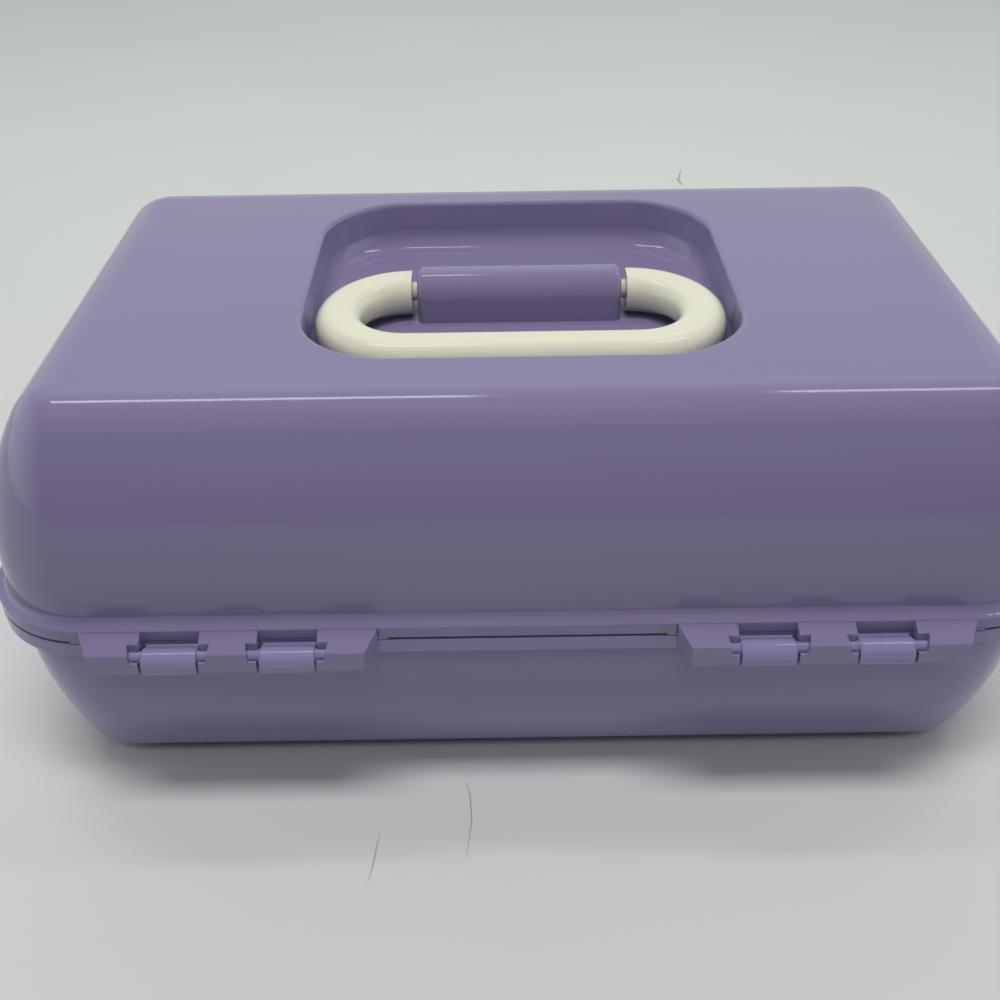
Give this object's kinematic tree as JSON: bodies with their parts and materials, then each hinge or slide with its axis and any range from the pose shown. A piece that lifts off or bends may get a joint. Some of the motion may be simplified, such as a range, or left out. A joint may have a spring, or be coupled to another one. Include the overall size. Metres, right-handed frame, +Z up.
{
  "type": "makeup storage case",
  "caption": "Rounded plastic makeup case with hinged lid, recessed swinging handle, front latch, lid mirror and linked trays that step out as it opens.",
  "frame": {"origin": "on the standing surface under the middle of the case's bounding box", "axes": "+X along the case, +Y towards the hinges at the back, +Z up"},
  "size_m": [0.3206, 0.2151, 0.1341],
  "materials": {
    "lavender": "glossy moulded, opaque lavender",
    "cream": "glossy moulded, warm cream",
    "tray": "satin moulded, pale lavender",
    "mirror": "silvered",
    "steel": "plated"
  },
  "bodies": {
    "base": {"base_shell": "lavender", "base_rivets": "steel"},
    "lid": {"lid_shell": "lavender", "mirror_frame": "lavender", "mirror": "mirror", "mirror_screws": "steel"},
    "handle": {"carry_handle": "cream"},
    "latch": {"front_latch": "cream"},
    "long_arms": {"long_arm_left": "cream", "long_arm_right": "cream"},
    "short_arms": {"short_arm_left": "cream", "short_arm_right": "cream"},
    "lower_tray": {"lower_tray": "tray", "lower_tray_rivets": "steel", "lower_divider_1": "tray", "lower_divider_2": "tray", "lower_divider_3": "tray"},
    "upper_tray": {"upper_tray": "tray", "upper_tray_rivets": "steel", "upper_divider_1": "tray", "upper_divider_2": "tray"}
  },
  "joints": [
    {"name": "lid_hinge", "type": "hinge", "parent": "base", "child": "lid", "pos_m": [0, 0.1037, 0.0655], "axis": [-1, 0, 0], "range_deg": [0, 100]},
    {"name": "handle_pivot", "type": "hinge", "parent": "lid", "child": "handle", "pos_m": [0, -0.0046, 0.1261], "axis": [1, 0, 0], "range_deg": [0, 180]},
    {"name": "latch_hinge", "type": "hinge", "parent": "lid", "child": "latch", "pos_m": [0, -0.1031, 0.0734], "axis": [-1, 0, 0], "range_deg": [0, 80]},
    {"name": "long_arm_pivot", "type": "hinge", "parent": "base", "child": "long_arms", "pos_m": [0, 0.0332, 0.06565], "axis": [-1, 0, 0], "range_deg": [0, 100]},
    {"name": "short_arm_pivot", "type": "hinge", "parent": "base", "child": "short_arms", "pos_m": [0, -0.02, 0.06565], "axis": [-1, 0, 0], "range_deg": [0, 100]},
    {"name": "lower_tray_pivot", "type": "hinge", "parent": "long_arms", "child": "lower_tray", "pos_m": [0, 0.0116, 0.0758], "axis": [1, 0, 0], "range_deg": [0, 100]},
    {"name": "upper_tray_pivot", "type": "hinge", "parent": "lid", "child": "upper_tray", "pos_m": [0, 0.0605, 0.0858], "axis": [1, 0, 0], "range_deg": [0, 100]}
  ],
  "couplings": [
    {"joint": "long_arm_pivot", "follows": "lid_hinge", "ratio": 1},
    {"joint": "short_arm_pivot", "follows": "lid_hinge", "ratio": 1},
    {"joint": "lower_tray_pivot", "follows": "lid_hinge", "ratio": 1},
    {"joint": "upper_tray_pivot", "follows": "lid_hinge", "ratio": 1}
  ]
}
